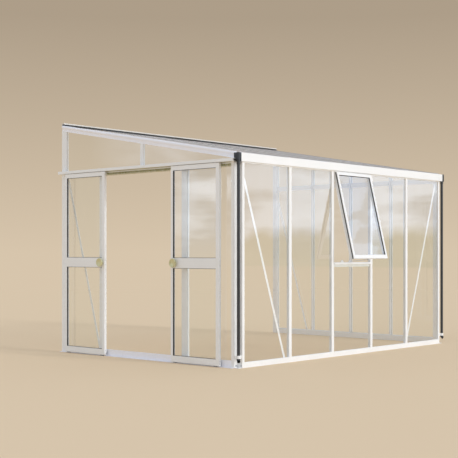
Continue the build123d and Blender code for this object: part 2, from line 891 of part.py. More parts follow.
def door_hangers(y0):
    """Two hangers per door, each a strap with an axle and a wheel on either lip of the track."""
    lip = track_bottom + track_wall
    wheel_z = lip + joint_gap + wheel_diameter / 2
    slot_middle = -(track_slot_outer + track_slot_inner) / 2
    hangers = []
    for y in (y0 + hanger_inset, y0 + door_width - hanger_inset):
        strap = block(
            slot_middle - hanger_strap / 2, slot_middle + hanger_strap / 2,
            y - hanger_width / 2, y + hanger_width / 2, door_top, wheel_z + axle_diameter,
        )
        outer = -track_slot_outer - wheel_clear - wheel_width
        inner = -track_slot_inner + wheel_clear + wheel_width
        centre = Pos((outer + inner) / 2, y, wheel_z)
        axle = centre * Rot(0, 90, 0) * Cylinder(axle_diameter / 2, inner - outer)
        wheels = [
            Pos(x, y, wheel_z) * Rot(0, 90, 0) * Cylinder(wheel_diameter / 2, wheel_width)
            for x in (outer + wheel_width / 2, inner - wheel_width / 2)
        ]
        hangers.append(strap + axle + wheels[0] + wheels[1])
    return Compound(children=hangers)


door_windows = [
    (door_bottom + bottom_rail, mid_rail_bottom),
    (mid_rail_bottom + mid_rail_height, door_top - top_rail),
]
back_door_y = door_centre + door_clear / 2 + door_back_opened
front_door_y = door_centre - door_clear / 2 - door_front_opened - door_width
doors = [
    ("back_door", back_door_y, back_door_y + knob_inset),
    ("front_door", front_door_y, front_door_y + door_width - knob_inset),
]
for name, y0, knob_y in doors:
    nodes[f"{name}_frame"] = door_frame(y0)
    nodes[f"{name}_glass"] = door_glass(y0)
    nodes[f"{name}_knob"] = door_knob(knob_y)
    nodes[f"{name}_hangers"] = door_hangers(y0)

# Move the origin to the middle of the footprint and write the files
box = Compound(children=[Compound(shape.solids()) for shape in nodes.values()]).bounding_box()
shift = Pos(-(box.min.X + box.max.X) / 2, -(box.min.Y + box.max.Y) / 2, -box.min.Z)
os.makedirs("parts", exist_ok=True)
for name, shape in nodes.items():
    placed = [shift * solid for solid in shape.solids()]
    export_step(placed[0] if len(placed) == 1 else Compound(children=placed), f"parts/{name}.step")
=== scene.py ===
import json
import math

import bmesh
import bpy
from mathutils import Matrix, Vector


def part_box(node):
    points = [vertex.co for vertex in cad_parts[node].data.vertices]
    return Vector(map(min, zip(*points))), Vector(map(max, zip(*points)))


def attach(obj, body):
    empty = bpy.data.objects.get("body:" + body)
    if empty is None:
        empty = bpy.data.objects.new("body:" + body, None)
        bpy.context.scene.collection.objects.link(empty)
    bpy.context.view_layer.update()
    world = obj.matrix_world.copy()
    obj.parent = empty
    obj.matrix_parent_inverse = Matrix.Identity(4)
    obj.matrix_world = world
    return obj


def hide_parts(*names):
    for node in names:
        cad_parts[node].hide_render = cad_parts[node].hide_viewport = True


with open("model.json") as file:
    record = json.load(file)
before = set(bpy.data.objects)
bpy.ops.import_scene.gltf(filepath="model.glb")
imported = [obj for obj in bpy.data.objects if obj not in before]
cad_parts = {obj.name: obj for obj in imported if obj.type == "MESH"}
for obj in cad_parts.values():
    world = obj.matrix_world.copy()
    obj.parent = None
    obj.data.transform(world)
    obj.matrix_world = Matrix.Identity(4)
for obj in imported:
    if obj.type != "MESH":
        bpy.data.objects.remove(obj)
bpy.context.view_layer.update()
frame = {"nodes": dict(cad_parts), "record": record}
scene = bpy.context.scene

# Camera and stage; the camera's place is in the source's millimetres
camera_place = (-7593.0, -6662.8, 1124.0)
camera_turn = -48.207
camera_lens = 81.67
camera_rise = 0.0527
backdrop_colour = (0.68, 0.56, 0.415)
upper_backdrop = (0.42, 0.34, 0.25)
backdrop_fade = 0.22
floor_reach = 60.0
floor_drop = 0.0005
floor_glow = (5.0, 20.0)

# Light; each lamp has a strength, a spread in degrees and the way towards it
sky_colour = (0.69, 0.73, 0.785)
sun_colour = (0.965, 0.985, 1.0)
high_sun = (0.45, 10.0, (0.12, -0.84, 0.53))
low_sun = (0.92, 8.0, (0.17, -0.97, 0.165))

# Sizes of the door leaves that the frame doesn't give, in metres
stile_width = 0.043
far_stile = 0.033
top_rail = 0.046
bottom_rail = 0.065
mid_rail = (0.971, 1.075)
glass_inset = 0.0063
glass_thickness = 0.0046

# Sizes of the vent that the frame doesn't give, in metres
vent_tilt = math.radians(13.7)
vent_proud = 0.018
vent_hinge = (0.004, 2.0037)
vent_thickness = 0.034
vent_top = -0.0003
vent_height = 0.970
vent_stile = 0.030
vent_top_rail = 0.033
vent_bottom_rail = 0.043
vent_glass_inset = 0.0083

# Seals, in metres; four widths are those of the low side, the high side, the bottom and the top
door_seal_widths = (0.004, 0.016, 0.004, 0.004)
vent_seal_widths = (0.003, 0.008, 0.003, 0.006)
inner_seal_widths = (0.004, 0.004, 0.004, 0.004)
seal_start = 0.0015
seal_lip = 0.0014
seal_height = 0.004

# Lines of the greenhouse in the source's millimetres
front_bars = [812.0, 1552.0, 2292.0, 3032.0]
end_bars = [740.0, 1369.0, 1998.0]
roof_line = 2110.0
roof_slope = math.tan(math.radians(10))


class Link:
    """A socket of a node tree that takes part in sums."""

    def __init__(self, graph, socket):
        self.graph = graph
        self.socket = socket

    def combined(self, operation, first, second):
        return self.graph.value("ShaderNodeMath", {"operation": operation}, {0: first, 1: second})

    def __add__(self, other):
        return self.combined("ADD", self, other)

    def __radd__(self, other):
        return self.combined("ADD", other, self)

    def __sub__(self, other):
        return self.combined("SUBTRACT", self, other)

    def __rsub__(self, other):
        return self.combined("SUBTRACT", other, self)

    def __mul__(self, other):
        return self.combined("MULTIPLY", self, other)

    def __rmul__(self, other):
        return self.combined("MULTIPLY", other, self)

    def __truediv__(self, other):
        return self.combined("DIVIDE", self, other)

    def __pow__(self, other):
        return self.combined("POWER", self, other)

    def __lt__(self, other):
        return self.combined("LESS_THAN", self, other)


class Graph:
    """Builds the nodes of one material, world or geometry tree."""

    def __init__(self, tree):
        self.tree = tree
        tree.nodes.clear()

    def node(self, kind, settings=None, values=None):
        made = self.tree.nodes.new(kind)
        for key, value in (settings or {}).items():
            if key == "stops":
                self.set_stops(made.color_ramp, value)
            else:
                setattr(made, key, value)
        for key, value in (values or {}).items():
            self.feed(made.inputs[key], value)
        return made

    def set_stops(self, ramp, stops):
        while len(ramp.elements) < len(stops):
            ramp.elements.new(0.5)
        for element, (place, colour) in zip(ramp.elements, stops):
            element.position = place
            element.color = (*colour, 1.0)

    def feed(self, socket, value):
        if isinstance(value, Link):
            self.tree.links.new(value.socket, socket)
        elif isinstance(value, bpy.types.NodeSocket):
            self.tree.links.new(value, socket)
        elif isinstance(value, tuple) and len(value) == 3 and socket.type == "RGBA":
            socket.default_value = (*value, 1.0)
        else:
            socket.default_value = value

    def value(self, kind, settings=None, values=None, output=0):
        return Link(self, self.node(kind, settings, values).outputs[output])

    def noise(self, place, scale, detail=2.0, rough=0.5):
        values = {"Vector": place, "Scale": scale, "Detail": detail, "Roughness": rough}
        return self.value("ShaderNodeTexNoise", None, values, "Fac")

    def stretched_noise(self, place, scales, detail, rough=0.5):
        stretched = self.value("ShaderNodeMapping", None, {"Vector": place, "Scale": scales})
        return self.noise(stretched, 1.0, detail, rough)

    def ramp(self, factor, *stops):
        return self.value("ShaderNodeValToRGB", {"stops": stops}, {"Fac": factor}, "Color")

    def fade(self, value, low, high):
        limits = {"Value": value, "From Min": low, "From Max": high}
        return self.value("ShaderNodeMapRange", {"clamp": True}, limits, "Result")

    def blend(self, factor, first, second):
        settings = {"data_type": "RGBA"}
        return self.value("ShaderNodeMix", settings, {0: factor, 6: first, 7: second}, 2)

    def axes(self, place):
        parts = self.node("ShaderNodeSeparateXYZ", None, {"Vector": place})
        return [Link(self, parts.outputs[i]) for i in range(3)]

    def slant(self):
        return self.value("ShaderNodeLayerWeight", None, {"Blend": 0.5}, "Facing")

    def bump(self, height, strength, distance):
        values = {"Height": height, "Strength": strength, "Distance": distance}
        return self.value("ShaderNodeBump", None, values, "Normal")

    def principled(self, values):
        return self.value("ShaderNodeBsdfPrincipled", None, values)

    def mixed(self, factor, first, second):
        return self.value("ShaderNodeMixShader", None, {0: factor, 1: first, 2: second})

    def finish_material(self, shader):
        self.node("ShaderNodeOutputMaterial", None, {"Surface": shader})


def material_graph(name):
    made = bpy.data.materials.new(name)
    made.use_nodes = True
    graph = Graph(made.node_tree)
    place = graph.value("ShaderNodeTexCoord", None, None, "Object")
    return made, graph, place


def powder_coat(name, dark, light):
    """Powder coat: fine orange peel, a faint unevenness and a little dust low down."""
    dust_height = 0.35
    dust_share = 0.16
    dust_colour = (0.66, 0.62, 0.55)
    made, graph, place = material_graph(name)
    cloud = graph.noise(place, 3.0, 3.0)
    height = graph.axes(place)[2]
    low = 1 - graph.fade(height, 0.0, dust_height)
    dust = low * graph.fade(graph.noise(place, 40.0, 5.0), 0.45, 0.8) * dust_share
    coat = graph.ramp(cloud, (0.3, dark), (0.7, light))
    peel = graph.noise(place, 900.0, 2.0)
    graph.finish_material(graph.principled({
        "Base Color": graph.blend(dust, coat, dust_colour),
        "Roughness": graph.fade(cloud, 0.2, 0.8) * 0.12 + 0.34,
        "Normal": graph.bump(peel, 0.12, 0.0004),
    }))
    return made


def clear_glass():
    """Thin clear glass that mirrors more at a slant, with a faint film of dust."""
    straight_mirror = 0.075
    slant_mirror = 0.9
    film_mirror = 0.02
    made, graph, place = material_graph("clear_glass")
    film = graph.fade(graph.stretched_noise(place, (9.0, 9.0, 2.0), 4.0), 0.45, 0.8)
    # Of a pane's two faces only the one that the light enters mirrors
    leaving = graph.value("ShaderNodeNewGeometry", None, None, "Backfacing")
    mirror = graph.slant() ** 3.0 * slant_mirror + straight_mirror + film * film_mirror
    clear = graph.value("ShaderNodeBsdfTransparent", None, {"Color": (0.994, 0.998, 0.996)})
    gloss = graph.principled({
        "Base Color": (0.9, 0.93, 0.93),
        "Metallic": 1.0,
        "Roughness": film * 0.06 + 0.01,
    })
    graph.finish_material(graph.mixed(mirror * (1 - leaving), clear, gloss))
    return made


def ribbed_sheet():
    """Translucent multiwall roof sheet: inner webs up the slope, with uneven beige and lilac channels."""
    web_pitch = 0.0105
    web_edge = (0.0004, 0.0014)
    made, graph, place = material_graph("ribbed_roof_sheet")
    across = graph.axes(place)[0]
    wave = graph.value("ShaderNodeMath", {"operation": "PINGPONG"}, {0: across, 1: web_pitch / 2})
    web = 1 - graph.fade(wave, *web_edge)
    channels = graph.stretched_noise(place, (26.0, 0.5, 0.5), 3.0, 0.6)
    colour = graph.ramp(
        channels, (0.4, (0.5, 0.42, 0.34)), (0.47, (0.72, 0.66, 0.6)), (0.55, (0.9, 0.87, 0.89)),
    )
    body = graph.principled({
        "Base Color": graph.blend(web * 0.5, colour, (0.84, 0.8, 0.8)),
        "Specular IOR Level": 0.35,
        "Roughness": 0.36,
        "Normal": graph.bump(web, 0.2, 0.0005),
    })
    clear = graph.value("ShaderNodeBsdfTransparent", None, {"Color": (0.95, 0.95, 0.96)})
    solid = web * 0.2 + 0.28 + graph.slant() ** 4.0 * 0.5
    graph.finish_material(graph.mixed(solid, clear, body))
    return made


def moulded(name, dark, light, roughness, grain, depth, shine=0.5):
    """Plain moulded or coated finish with a fine grain."""
    made, graph, place = material_graph(name)
    cloud = graph.noise(place, 14.0, 4.0)
    fine = graph.noise(place, grain, 2.0)
    graph.finish_material(graph.principled({
        "Base Color": graph.ramp(cloud, (0.3, dark), (0.7, light)),
        "Specular IOR Level": shine,
        "Roughness": cloud * 0.16 + roughness,
        "Normal": graph.bump(fine, 0.2, depth),
    }))
    return made


def brushed(name, dark, light, roughness, metallic):
    """Metal with a fine drawn grain along its length."""
    made, graph, place = material_graph(name)
    grain = graph.stretched_noise(place, (60.0, 60.0, 900.0), 3.0)
    cloud = graph.noise(place, 12.0, 3.0)
    graph.finish_material(graph.principled({
        "Base Color": graph.ramp(grain * 0.5 + cloud * 0.5, (0.35, dark), (0.65, light)),
        "Metallic": metallic,
        "Roughness": grain * 0.2 + roughness,
        "Normal": graph.bump(grain, 0.1, 0.0003),
    }))
    return made


finishes = {
    "white_metal": powder_coat("white_powder_coat", (0.88, 0.88, 0.875), (0.92, 0.92, 0.915)),
    "glass": clear_glass(),
    "roof_sheet": ribbed_sheet(),
    "black_plastic": moulded(
        "black_plastic", (0.014, 0.014, 0.013), (0.026, 0.025, 0.023), 0.34, 700.0, 0.0004, 0.55,
    ),
    "black_rubber": moulded(
        "black_rubber", (0.016, 0.016, 0.016), (0.03, 0.03, 0.03), 0.6, 500.0, 0.0006,
    ),
    # The knobs' satin metal: its olive tone is partly painted reflection of green surroundings
    "knob_metal": brushed("satin_metal_painted_olive_reflection", (0.6, 0.56, 0.3), (0.73, 0.69, 0.42), 0.32, 0.45),
    "plain_metal": brushed("mill_aluminium", (0.55, 0.55, 0.56), (0.68, 0.68, 0.69), 0.28, 1.0),
}

# Painted light and shade in other tones of the coat: painted shade on the wall plate, a painted sky tint
# on the left end's sill and the rafters, and painted sunlight on the braces; and the olive pile of the
# brush, painted shade under the door track
painted_shade_coat = powder_coat("painted_shade_powder_coat", (0.66, 0.62, 0.56), (0.74, 0.7, 0.64))
painted_sky_tint_coat = powder_coat("painted_sky_tint_powder_coat", (0.92, 0.92, 0.975), (0.95, 0.945, 0.99))
painted_sunlit_coat = powder_coat("painted_sunlit_powder_coat", (0.965, 0.965, 0.96), (0.985, 0.985, 0.98))
# Olive pile of the brush: painted shade with a green tint
painted_shade_brush_pile = moulded("painted_shade_brush_pile", (0.33, 0.32, 0.11), (0.47, 0.455, 0.19), 0.7, 300.0, 0.0003)
# Nodes whose coat carries painted light or shade
node_finishes = {
    "wall_plate": painted_shade_coat,
    "left_end_sill": painted_sky_tint_coat,
    "rafter_left": painted_sky_tint_coat,
    "rafter_right": painted_sky_tint_coat,
    "wind_braces": painted_sunlit_coat,
}

# Every node takes the finish of its slot in the record, or its tone of painted light or shade
for row in frame["record"]["subparts"]:
    node = frame["nodes"][row["node"]]
    node.data.materials.clear()
    node.data.materials.append(node_finishes.get(row["node"], finishes[row["material_slot"]]))


class Shape:
    """Gathers closed solids into one mesh."""

    def __init__(self):
        self.mesh = bmesh.new()

    def box(self, low, high):
        """An upright box between two opposite corners."""
        corners = [(low.x, low.y), (high.x, low.y), (high.x, high.y), (low.x, high.y)]
        return self.between([(x, y, low.z) for x, y in corners], [(x, y, high.z) for x, y in corners])

    def between(self, start, end):
        """A closed bar from one ring of corners to a like one."""
        rings = [[self.mesh.verts.new(point) for point in row] for row in (start, end)]
        count = len(start)
        for i in range(count):
            j = (i + 1) % count
            self.mesh.faces.new((rings[0][i], rings[0][j], rings[1][j], rings[1][i]))
        self.mesh.faces.new(list(reversed(rings[0])))
        self.mesh.faces.new(rings[1])
        return self

    def ring(self, place, low, high, widths, section):
        """A mitred strip round the inside of a rectangle; section holds (share of width, depth)."""
        left, right, bottom, top = widths
        turns = ((0, 0), (1, 0), (1, 1), (0, 1))
        rows = []
        for share, depth in section:
            across = (low[0] + share * left, high[0] - share * right)
            up = (low[1] + share * bottom, high[1] - share * top)
            rows.append([self.mesh.verts.new(place(across[i], up[j], depth)) for i, j in turns])
        for row, following in zip(rows, rows[1:] + rows[:1]):
            for i in range(4):
                j = (i + 1) % 4
                self.mesh.faces.new((row[i], row[j], following[j], following[i]))
        return self

    def lathe(self, profile, turn, steps):
        """A profile of (radius, height) points turned about local Z and placed by the matrix turn."""
        on_axis = 1e-6
        rings = []
        for radius, height in profile:
            if radius < on_axis:
                rings.append([self.mesh.verts.new(turn @ Vector((0, 0, height)))])
                continue
            ring = []
            for i in range(steps):
                angle = 2 * math.pi * i / steps
                point = Vector((radius * math.cos(angle), radius * math.sin(angle), height))
                ring.append(self.mesh.verts.new(turn @ point))
            rings.append(ring)
        for low, high in zip(rings, rings[1:]):
            for i in range(steps):
                j = (i + 1) % steps
                if len(low) == 1:
                    self.mesh.faces.new((low[0], high[j], high[i]))
                elif len(high) == 1:
                    self.mesh.faces.new((low[i], low[j], high[0]))
                else:
                    self.mesh.faces.new((low[i], low[j], high[j], high[i]))
        return self


def piece(name, shape, slot, body="greenhouse", smooth=False, bevel=0.0, finish=None):
    """Turn a gathered shape into a piece that rides on a body."""
    bmesh.ops.recalc_face_normals(shape.mesh, faces=shape.mesh.faces)
    mesh = bpy.data.meshes.new(name)
    shape.mesh.to_mesh(mesh)
    shape.mesh.free()
    mesh.materials.append(finish or finishes[slot])
    made = bpy.data.objects.new(name, mesh)
    scene.collection.objects.link(made)
    if smooth:
        mesh.shade_smooth()
    if bevel:
        modifier = made.modifiers.new("bevel", "BEVEL")
        modifier.width = bevel
        modifier.segments = 2
        modifier.limit_method = "ANGLE"
    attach(made, body)
    return made


def arc(centre, radius, start, end, steps):
    """Points of a profile along an arc, with its angles in degrees."""
    angles = [math.radians(start + (end - start) * i / steps) for i in range(steps + 1)]
    return [(centre[0] + radius * math.cos(a), centre[1] + radius * math.sin(a)) for a in angles]


def grow(name, places, tree, inputs, slot, body="greenhouse", edges=(), finish=None):
    """Set a geometry tree on a few points, turn the result into a plain mesh and let it ride."""
    mesh = bpy.data.meshes.new(name)
    mesh.from_pydata([tuple(place) for place in places], list(edges), [])
    made = bpy.data.objects.new(name, mesh)
    scene.collection.objects.link(made)
    modifier = made.modifiers.new("growth", "NODES")
    modifier.node_group = tree
    given = {**inputs, "Finish": finish or finishes[slot]}
    for item in tree.interface.items_tree:
        if item.in_out == "INPUT" and item.name in given:
            modifier[item.identifier] = given[item.name]
    grown = made.evaluated_get(bpy.context.evaluated_depsgraph_get())
    made.data = bpy.data.meshes.new_from_object(grown)
    made.modifiers.clear()
    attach(made, body)
    return made


def new_tree(name, sizes):
    """An empty geometry tree with named inputs: points, sizes, a direction and a finish."""
    tree = bpy.data.node_groups.new(name, "GeometryNodeTree")
    kinds = {"Points": "Geometry", "Aim": "Vector", "Finish": "Material"}
    labels = ["Points", *sizes, "Aim", "Finish"]
    for label in labels:
        kind = kinds.get(label, "Float")
        tree.interface.new_socket(label, in_out="INPUT", socket_type="NodeSocket" + kind)
    tree.interface.new_socket("Made", in_out="OUTPUT", socket_type="NodeSocketGeometry")
    graph = Graph(tree)
    inputs = graph.node("NodeGroupInput")
    return tree, graph, {label: Link(graph, inputs.outputs[label]) for label in labels}


def cylinder(graph, sides, width, height):
    """A cylinder of a tree, with its height for the stack."""
    values = {"Vertices": sides, "Radius": width / 2, "Depth": height}
    return graph.node("GeometryNodeMeshCylinder", None, values), height


def cone(graph, sides, width, top_share, height):
    """A cut cone of a tree, whose top radius is a share of its width, with its height for the stack."""
    radii = {"Radius Top": width * top_share, "Radius Bottom": width / 2}
    values = {"Vertices": sides, **radii, "Depth": height}
    return graph.node("GeometryNodeMeshCone", None, values), height


def stack(graph, parts):
    """Parts of given heights set on each other along Z and joined."""
    join = graph.node("GeometryNodeJoinGeometry")
    lift = 0.0
    for made, height in parts:
        rise = graph.value("ShaderNodeCombineXYZ", None, {"Z": height / 2 + lift})
        moved = {"Geometry": made.outputs["Mesh"], "Translation": rise}
        graph.feed(join.inputs["Geometry"], graph.value("GeometryNodeTransform", None, moved))
        lift = height + lift
    return join.outputs[0]


def spread_over_points(graph, given, points, shape, tilt=None):
    """Put the shape on every point, turned to the aim, and end the tree."""
    turned = graph.value("FunctionNodeAlignRotationToVector", {"axis": "Z"}, {"Vector": given["Aim"]})
    copies = graph.value("GeometryNodeInstanceOnPoints", None, {
        "Points": points, "Instance": shape, "Rotation": turned,
    })
    if tilt is not None:
        copies = graph.value("GeometryNodeRotateInstances", None, {"Instances": copies, "Rotation": tilt})
    real = graph.value("GeometryNodeRealizeInstances", None, {"Geometry": copies})
    dressed = graph.value("GeometryNodeSetMaterial", None, {"Geometry": real, "Material": given["Finish"]})
    graph.node("NodeGroupOutput", None, {"Made": dressed})


def bolt_tree():
    """A hexagonal head with a chamfered top on a round washer, at every point."""
    sizes = ["Head width", "Head height", "Washer width", "Washer height"]
    tree, graph, given = new_tree("hex_bolts", sizes)
    parts = [
        cylinder(graph, 20, given["Washer width"], given["Washer height"]),
        cylinder(graph, 6, given["Head width"], given["Head height"] * 0.8),
        cone(graph, 6, given["Head width"], 0.4, given["Head height"] * 0.2),
    ]
    spread_over_points(graph, given, given["Points"], stack(graph, parts))
    return tree


def screw_tree():
    """A pan head screw at every point."""
    tree, graph, given = new_tree("pan_head_screws", ["Head width", "Head height"])
    parts = [
        cylinder(graph, 14, given["Head width"], given["Head height"] * 0.4),
        cone(graph, 14, given["Head width"], 0.26, given["Head height"] * 0.6),
    ]
    spread_over_points(graph, given, given["Points"], stack(graph, parts))
    return tree


def brush_tree():
    """Bristles along every edge of the points, each a thin cone with a little tilt of its own."""
    tree, graph, given = new_tree("brush_bristles", ["Spacing", "Length", "Thickness", "Tilt"])
    line = graph.value("GeometryNodeMeshToCurve", None, {"Mesh": given["Points"]})
    places = graph.value("GeometryNodeResampleCurve", {"mode": "LENGTH"}, {
        "Curve": line, "Length": given["Spacing"],
    })
    bristle = cone(graph, 3, given["Thickness"], 0.2, given["Length"])
    low = graph.value("ShaderNodeCombineXYZ", None, {"X": 0 - given["Tilt"], "Y": 0 - given["Tilt"]})
    high = graph.value("ShaderNodeCombineXYZ", None, {"X": given["Tilt"], "Y": given["Tilt"]})
    limits = {0: low, 1: high, "Seed": 7}
    tilt = graph.value("FunctionNodeRandomValue", {"data_type": "FLOAT_VECTOR"}, limits)
    spread_over_points(graph, given, places, stack(graph, [bristle]), tilt)
    return tree


# Planes of the greenhouse
left_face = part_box("left_header")[0].x
front_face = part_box("front_bar_1")[0].y
right_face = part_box("right_transom")[1].x
length = round((right_face - left_face) * 1000)


def at(x, y, z):
    """A place in the source's millimetres, from the left face, the front face and the foot."""
    return Vector((left_face + x / 1000, front_face + y / 1000, z / 1000))


def from_end(end, way, places):
    """Places measured inwards from the x of one end; way is 1 at the left and -1 at the right."""
    return [at(end + way * x, y, z) for x, y, z in places]


def roof(x, y, drop):
    """A place at a drop below the roof line, in millimetres."""
    return at(x, y, roof_line + roof_slope * y - drop)


def extrude_across(shape, outline, place, start, end):
    """Carry an outline of pairs from one x to another; place turns an x and a pair into a point."""
    shape.between([place(start, *pair) for pair in outline], [place(end, *pair) for pair in outline])


def pane_seals(shape, place, low, high, widths, inset):
    """A wedge of rubber on either side of a pane."""
    back = inset + glass_thickness
    outer = [(0, seal_start), (0, inset), (1, inset), (1, inset - seal_lip)]
    inner = [(0, back), (0, back + seal_height), (1, back + seal_lip), (1, back)]
    shape.ring(place, low, high, widths, outer)
    shape.ring(place, low, high, inner_seal_widths, inner)


# Black glazing seals of the two doors, widest on the stile away from the front corner; the narrow strips
# along each pane's bottom and top also stand as painted shadow lines
for body in ("back_door", "front_door"):
    leaf_low, leaf_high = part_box(f"{body}_frame")
    seals = Shape()
    for bottom, top in ((leaf_low.z + bottom_rail, mid_rail[0]), (mid_rail[1], leaf_high.z - top_rail)):
        pane_seals(
            seals, lambda across, up, depth: Vector((leaf_low.x + depth, across, up)),
            (leaf_low.y + stile_width, bottom), (leaf_high.y - far_stile, top),
            door_seal_widths, glass_inset,
        )
    piece(f"{body}_seals", seals, "black_rubber", body)

# Turned door knobs: a rosette, a waisted neck and a dished disc with a rolled edge
rosette_radius = 0.025
rosette_edge = 0.0015
neck_centre = (0.0265, 0.0125)
neck_hollow = 0.009
disc_thickness = 0.015
disc_roll = 0.004
dish_radius = 0.15
dish_depth = 0.005
knob_steps = 64
for body in ("back_door", "front_door"):
    low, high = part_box(f"{body}_knob")
    radius = (high.y - low.y) / 2
    reach = high.x - low.x
    profile = [(0, 0), (rosette_radius, 0)]
    profile += arc((rosette_radius - rosette_edge, rosette_edge), rosette_edge, 0, 90, 4)
    profile += arc(neck_centre, neck_hollow, 230, 130, 8)
    profile += arc((radius - disc_roll, reach - disc_thickness + disc_roll), disc_roll, 270, 360, 6)
    profile += arc((radius - disc_roll, reach - disc_roll), disc_roll, 0, 100, 8)
    profile += arc((0, reach - dish_depth + dish_radius), dish_radius, -76.2, -90, 8)
    middle = Vector((high.x, (low.y + high.y) / 2, (low.z + high.z) / 2))
    turn = Matrix.Translation(middle) @ Matrix.Rotation(-math.pi / 2, 4, "Y")
    turned = Shape().lathe(profile, turn, knob_steps)
    knob = piece(f"{body}_turned_knob", turned, "knob_metal", body, smooth=True)
    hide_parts(f"{body}_knob")

# Trees of the small fasteners and the brush, the sizes that they take and the ways that they face
bolts = bolt_tree()
screws = screw_tree()
bristles = brush_tree()
large_bolt = {"Head width": 0.013, "Head height": 0.005, "Washer width": 0.018, "Washer height": 0.0012}
small_bolt = {"Head width": 0.0105, "Head height": 0.004, "Washer width": 0.014, "Washer height": 0.001}
flat_head = {"Head width": 0.009, "Head height": 0.0015}
pan_head = {"Head width": 0.009, "Head height": 0.0028}
wide_head = {"Head width": 0.013, "Head height": 0.0035}
to_front = (0.0, -1.0, 0.0)
to_back = (0.0, 1.0, 0.0)
to_left = (-1.0, 0.0, 0.0)
to_right = (1.0, 0.0, 0.0)
downward = (0.0, 0.0, -1.0)


def fasten(name, places, tree, sizes, aim, slot="plain_metal", body="greenhouse"):
    """Set a bolt or screw on every place, facing the aim."""
    grow(name, places, tree, {**sizes, "Aim": aim}, slot, body)


# Screws in the leaves' edges, at the ends of their rails
rail_heights = (0.030, 0.060, 1.000, 1.046, 1.984, 2.003)
for body in ("back_door", "front_door"):
    leaf_low, leaf_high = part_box(f"{body}_frame")
    middle = (leaf_low.x + leaf_high.x) / 2
    for side, edge, aim in (("near", leaf_low.y, to_front), ("far", leaf_high.y, to_back)):
        places = [(middle, edge, height) for height in rail_heights]
        fasten(f"{body}_{side}_edge_screws", places, screws, flat_head, aim, body=body)

# Black guide shoes under the leaves, a small way over the guide rail
shoe_from_edge = 0.055
shoe_length = 0.04
shoe_inset = 0.002
shoe_outline = [
    (0.0, -0.003), (0.004, -0.0052), (0.022, -0.0052),
    (0.026, -0.003), (0.026, 0.002), (0.0, 0.002),
]
for body in ("back_door", "front_door"):
    leaf_low, leaf_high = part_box(f"{body}_frame")
    left_edge = leaf_low.x + shoe_inset
    shoes = Shape()
    for centre in (leaf_low.y + shoe_from_edge, leaf_high.y - shoe_from_edge):
        start = [(left_edge + x, centre - shoe_length / 2, leaf_low.z + z) for x, z in shoe_outline]
        end = [(x, y + shoe_length, z) for x, y, z in start]
        shoes.between(start, end)
    piece(f"{body}_guide_shoes", shoes, "black_plastic", body, bevel=0.0006)

# The open vent: its swung frame and seals
vent_low, vent_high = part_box("vent_frame")
vent_pin = Vector((0, front_face + vent_hinge[0], vent_hinge[1]))
swing = Matrix.Translation(vent_pin) @ Matrix.Rotation(-vent_tilt, 4, "X")
vent_foot = vent_top - vent_height


def on_vent(across, up, depth):
    """A place on the swung vent, from its hinge line and outer face."""
    return swing @ Vector((across, depth - vent_proud - vent_hinge[0], up))


seals = Shape()
pane_seals(
    seals, on_vent, (vent_low.x + vent_stile, vent_foot + vent_bottom_rail),
    (vent_high.x - vent_stile, vent_top - vent_top_rail), vent_seal_widths, vent_glass_inset,
)
piece("vent_seals", seals, "black_rubber")

# Weather seals in the channels down the vent's sides
side_seal_depths = (0.011, 0.013, 0.021, 0.023)
side_seal_seat = 0.0047
side_seal_crest = 0.0004
side_seal_end = 0.002
sides = Shape()
for edge, way in ((vent_low.x, 1), (vent_high.x, -1)):
    seat = edge + way * side_seal_seat
    crest = edge + way * side_seal_crest
    corners = list(zip((seat, crest, crest, seat), side_seal_depths))
    start = [on_vent(across, vent_foot + side_seal_end, depth) for across, depth in corners]
    end = [on_vent(across, vent_top - side_seal_end, depth) for across, depth in corners]
    sides.between(start, end)
piece("vent_side_seals", sides, "black_rubber")

# Screws at the corners of the vent's inner side
corner_screw_inset = 0.016
screw_rises = (vent_foot + 0.014, vent_foot + 0.034, vent_top - 0.010, vent_top - 0.024)
places = []
for across in (vent_low.x + corner_screw_inset, vent_high.x - corner_screw_inset):
    places += [on_vent(across, up, vent_thickness) for up in screw_rises]
inner_way = swing.to_3x3() @ Vector(to_back)
fasten("vent_corner_screws", places, screws, pan_head, tuple(inner_way))

# White brackets round the pegs on the vent's sill
stay_low, stay_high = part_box("vent_stay")
stay_width = 0.014
stay_holes = 5
peg_spacing = 0.15
bracket_foot = 1.0229
bracket_thickness = 0.01
bracket_outline = [
    (-0.031, 0), (0.031, 0), (0.028, 0.006), (0.004, 0.026), (-0.004, 0.026), (-0.028, 0.006),
]
stay_x = (stay_low.x + stay_high.x) / 2
stay_end = stay_low.y + stay_width / 2
hole_step = (stay_high.y - stay_end) / (stay_holes + 1)
peg_y = stay_high.y - hole_step / 2
near_face = peg_y - bracket_thickness / 2
brackets = Shape()
for x in (stay_x, stay_x - peg_spacing):
    start = [(x + across, near_face, bracket_foot + up) for across, up in bracket_outline]
    end = [(across, y + bracket_thickness, up) for across, y, up in start]
    brackets.between(start, end)
piece("stay_peg_brackets", brackets, "white_metal", bevel=0.0012)

# Pivot pin at the stay's outer end
pin_length = 0.0245
pin_drop = 0.009
pin_steps = 20
pin_profile = [
    (0, 0), (0.0055, 0), (0.0055, 0.002), (0.003, 0.003),
    (0.003, 0.0215), (0.0055, 0.0225), (0.0055, pin_length), (0, pin_length),
]
pin_place = Matrix.Translation((stay_x - pin_length / 2, stay_end, stay_high.z - pin_drop))
pin = Shape().lathe(pin_profile, pin_place @ Matrix.Rotation(math.pi / 2, 4, "Y"), pin_steps)
piece("stay_pivot_pin", pin, "plain_metal", smooth=True)

